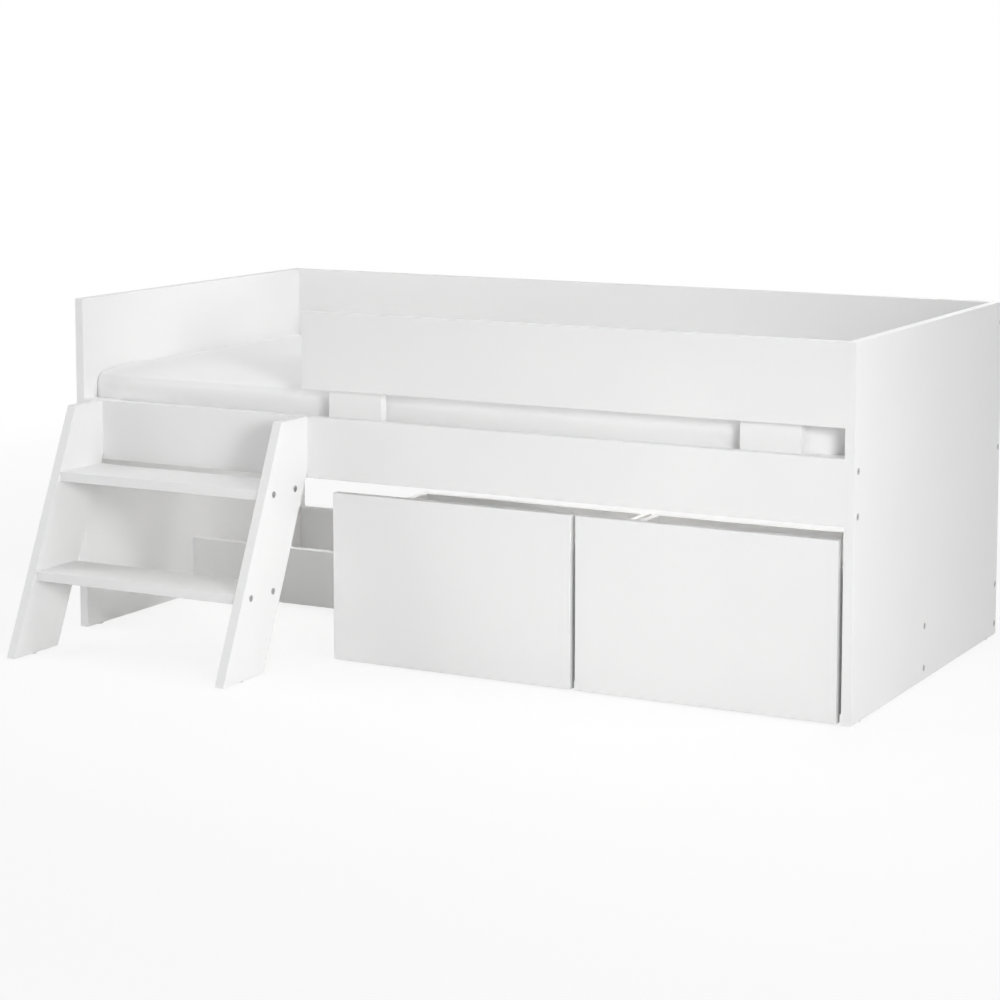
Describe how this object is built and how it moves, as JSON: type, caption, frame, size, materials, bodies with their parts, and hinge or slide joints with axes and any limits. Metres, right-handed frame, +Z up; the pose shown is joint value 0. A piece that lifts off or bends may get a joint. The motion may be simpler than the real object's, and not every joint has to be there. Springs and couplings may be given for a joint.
{
  "type": "low sleeper bed",
  "caption": "Low raised single bed in white boards, with a mattress, guard rail, short slanted ladder and handleless storage drawers that roll out on the floor.",
  "frame": {"origin": "on the floor, under the middle of the overall footprint, ladder included", "axes": "+X along the bed to its right end, +Y to its back, +Z up; the ladder and the drawers face -Y"},
  "size_m": [1.96, 1.312, 0.794],
  "materials": {
    "white_board": "satin white faced board with matching edge banding",
    "pine": "planed, unfinished",
    "slat_tape": "woven polyester tape",
    "mattress_cover": "white knitted ticking over soft foam",
    "dowel_wood": "fluted beech",
    "bolt_steel": "satin nickel plated, hexagon socket",
    "zinc_steel": "zinc plated",
    "glide_plastic": "smooth light grey nylon",
    "castor_plastic": "fine-grained black moulding",
    "wheel_plastic": "satin grey nylon"
  },
  "bodies": {
    "bed": {"end_panel_left": "white_board", "end_panel_right": "white_board", "front_rail": "white_board", "guard_rail": "white_board", "guard_post_left": "white_board", "guard_post_right": "white_board", "back_panel_upper": "white_board", "back_board_lower": "white_board", "mid_stretcher": "white_board", "slat_ledger_front": "pine", "slat_ledger_back": "pine", "slats": "pine", "slat_tapes": "slat_tape", "mattress": "mattress_cover", "ladder_stringer_left": "white_board", "ladder_stringer_right": "white_board", "ladder_tread_upper": "white_board", "ladder_tread_lower": "white_board", "frame_bolts": "bolt_steel", "frame_barrel_nuts": "zinc_steel", "guard_dowels": "dowel_wood", "post_screws": "zinc_steel", "ledger_screws": "zinc_steel", "slat_screws": "zinc_steel", "tread_bolts": "bolt_steel", "tread_barrel_nuts": "zinc_steel", "ladder_screws": "zinc_steel", "floor_glides": "glide_plastic"},
    "drawer_left": {"drawer_left_front": "white_board", "drawer_left_side_left": "white_board", "drawer_left_side_right": "white_board", "drawer_left_back": "white_board", "drawer_left_bottom": "white_board", "drawer_left_dowels": "dowel_wood", "drawer_left_screws": "zinc_steel", "drawer_left_castor_housings": "castor_plastic", "drawer_left_castor_axles": "zinc_steel"},
    "drawer_left_wheel_front_left": {"drawer_left_wheel_front_left": "wheel_plastic"},
    "drawer_left_wheel_front_right": {"drawer_left_wheel_front_right": "wheel_plastic"},
    "drawer_left_wheel_back_left": {"drawer_left_wheel_back_left": "wheel_plastic"},
    "drawer_left_wheel_back_right": {"drawer_left_wheel_back_right": "wheel_plastic"},
    "drawer_right": {"drawer_right_front": "white_board", "drawer_right_side_left": "white_board", "drawer_right_side_right": "white_board", "drawer_right_back": "white_board", "drawer_right_bottom": "white_board", "drawer_right_dowels": "dowel_wood", "drawer_right_screws": "zinc_steel", "drawer_right_castor_housings": "castor_plastic", "drawer_right_castor_axles": "zinc_steel"},
    "drawer_right_wheel_front_left": {"drawer_right_wheel_front_left": "wheel_plastic"},
    "drawer_right_wheel_front_right": {"drawer_right_wheel_front_right": "wheel_plastic"},
    "drawer_right_wheel_back_left": {"drawer_right_wheel_back_left": "wheel_plastic"},
    "drawer_right_wheel_back_right": {"drawer_right_wheel_back_right": "wheel_plastic"}
  },
  "joints": [
    {"name": "drawer_left_slide", "type": "slide", "parent": "bed", "child": "drawer_left", "axis": [0, -1, 0], "range_m": [0, 0.42]},
    {"name": "drawer_left_wheel_front_left_spin", "type": "hinge", "parent": "drawer_left", "child": "drawer_left_wheel_front_left", "pos_m": [-0.204, -0.236, 0.018], "axis": [1, 0, 0], "range_deg": [-20, 1360]},
    {"name": "drawer_left_wheel_front_right_spin", "type": "hinge", "parent": "drawer_left", "child": "drawer_left_wheel_front_right", "pos_m": [0.2755, -0.236, 0.018], "axis": [1, 0, 0], "range_deg": [-20, 1360]},
    {"name": "drawer_left_wheel_back_left_spin", "type": "hinge", "parent": "drawer_left", "child": "drawer_left_wheel_back_left", "pos_m": [-0.204, 0.029, 0.018], "axis": [1, 0, 0], "range_deg": [-20, 1360]},
    {"name": "drawer_left_wheel_back_right_spin", "type": "hinge", "parent": "drawer_left", "child": "drawer_left_wheel_back_right", "pos_m": [0.2755, 0.029, 0.018], "axis": [1, 0, 0], "range_deg": [-20, 1360]},
    {"name": "drawer_right_slide", "type": "slide", "parent": "bed", "child": "drawer_right", "axis": [0, -1, 0], "range_m": [0, 0.42]},
    {"name": "drawer_right_wheel_front_left_spin", "type": "hinge", "parent": "drawer_right", "child": "drawer_right_wheel_front_left", "pos_m": [0.4075, -0.236, 0.018], "axis": [1, 0, 0], "range_deg": [-20, 1360]},
    {"name": "drawer_right_wheel_front_right_spin", "type": "hinge", "parent": "drawer_right", "child": "drawer_right_wheel_front_right", "pos_m": [0.887, -0.236, 0.018], "axis": [1, 0, 0], "range_deg": [-20, 1360]},
    {"name": "drawer_right_wheel_back_left_spin", "type": "hinge", "parent": "drawer_right", "child": "drawer_right_wheel_back_left", "pos_m": [0.4075, 0.029, 0.018], "axis": [1, 0, 0], "range_deg": [-20, 1360]},
    {"name": "drawer_right_wheel_back_right_spin", "type": "hinge", "parent": "drawer_right", "child": "drawer_right_wheel_back_right", "pos_m": [0.887, 0.029, 0.018], "axis": [1, 0, 0], "range_deg": [-20, 1360]}
  ],
  "couplings": [
    {"joint": "drawer_left_wheel_front_left_spin", "follows": "drawer_left_slide", "rad_per_m": 55.556},
    {"joint": "drawer_left_wheel_front_right_spin", "follows": "drawer_left_slide", "rad_per_m": 55.556},
    {"joint": "drawer_left_wheel_back_left_spin", "follows": "drawer_left_slide", "rad_per_m": 55.556},
    {"joint": "drawer_left_wheel_back_right_spin", "follows": "drawer_left_slide", "rad_per_m": 55.556},
    {"joint": "drawer_right_wheel_front_left_spin", "follows": "drawer_right_slide", "rad_per_m": 55.556},
    {"joint": "drawer_right_wheel_front_right_spin", "follows": "drawer_right_slide", "rad_per_m": 55.556},
    {"joint": "drawer_right_wheel_back_left_spin", "follows": "drawer_right_slide", "rad_per_m": 55.556},
    {"joint": "drawer_right_wheel_back_right_spin", "follows": "drawer_right_slide", "rad_per_m": 55.556}
  ]
}
